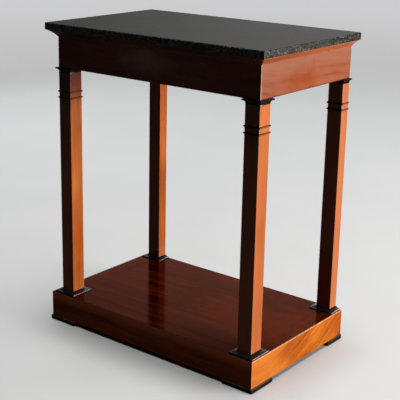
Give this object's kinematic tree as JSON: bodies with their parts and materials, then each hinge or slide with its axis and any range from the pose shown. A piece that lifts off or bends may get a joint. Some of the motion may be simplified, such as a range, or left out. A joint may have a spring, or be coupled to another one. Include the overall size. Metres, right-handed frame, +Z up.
{
  "type": "pier table",
  "caption": "Pier table with a loose dark stone slab on a coved mahogany frieze, square pillars with black capitals, rings and bases, and a box plinth on low block feet.",
  "frame": {"origin": "on the floor under the middle of the slab", "axes": "+Z up; the front faces -Y; +X to the right of someone who faces the front"},
  "size_m": [0.728, 0.448, 0.875],
  "materials": {
    "mahogany": "figured mahogany veneer, polished, with worn arrises",
    "ebonised_wood": "black stained wood, semi-gloss, rubbed at the edges",
    "pine": "bare aged pine",
    "dark_stone": "honed and polished dark speckled stone",
    "screw_steel": "dull steel"
  },
  "bodies": {
    "frame": {"base_back_left": "ebonised_wood", "base_back_right": "ebonised_wood", "base_front_left": "ebonised_wood", "base_front_right": "ebonised_wood", "capital_back_left": "ebonised_wood", "capital_back_right": "ebonised_wood", "capital_front_left": "ebonised_wood", "capital_front_right": "ebonised_wood", "cornice_front": "mahogany", "cornice_left": "mahogany", "cornice_right": "mahogany", "foot_back_left": "ebonised_wood", "foot_back_right": "ebonised_wood", "foot_front_left": "ebonised_wood", "foot_front_right": "ebonised_wood", "foot_screws": "screw_steel", "frieze_back": "pine", "frieze_block_back_left": "pine", "frieze_block_back_right": "pine", "frieze_block_front_left": "pine", "frieze_block_front_right": "pine", "frieze_front": "mahogany", "frieze_left": "mahogany", "frieze_right": "mahogany", "lower_dowels": "pine", "lower_ring_back_left": "ebonised_wood", "lower_ring_back_right": "ebonised_wood", "lower_ring_front_left": "ebonised_wood", "lower_ring_front_right": "ebonised_wood", "pillar_back_left": "mahogany", "pillar_back_right": "mahogany", "pillar_front_left": "mahogany", "pillar_front_right": "mahogany", "platform_board": "mahogany", "plinth_back": "pine", "plinth_batten": "pine", "plinth_block_back_left": "pine", "plinth_block_back_right": "pine", "plinth_block_front_left": "pine", "plinth_block_front_right": "pine", "plinth_front": "mahogany", "plinth_glue_blocks": "pine", "plinth_left": "mahogany", "plinth_right": "mahogany", "top_bearer_left": "pine", "top_bearer_right": "pine", "upper_dowels": "pine", "upper_ring_back_left": "ebonised_wood", "upper_ring_back_right": "ebonised_wood", "upper_ring_front_left": "ebonised_wood", "upper_ring_front_right": "ebonised_wood"},
    "slab": {"stone_top": "dark_stone"}
  },
  "joints": [
    {"name": "top_lift", "type": "slide", "parent": "frame", "child": "slab", "axis": [0, 0, 1], "range_m": [0, 0.15]}
  ]
}
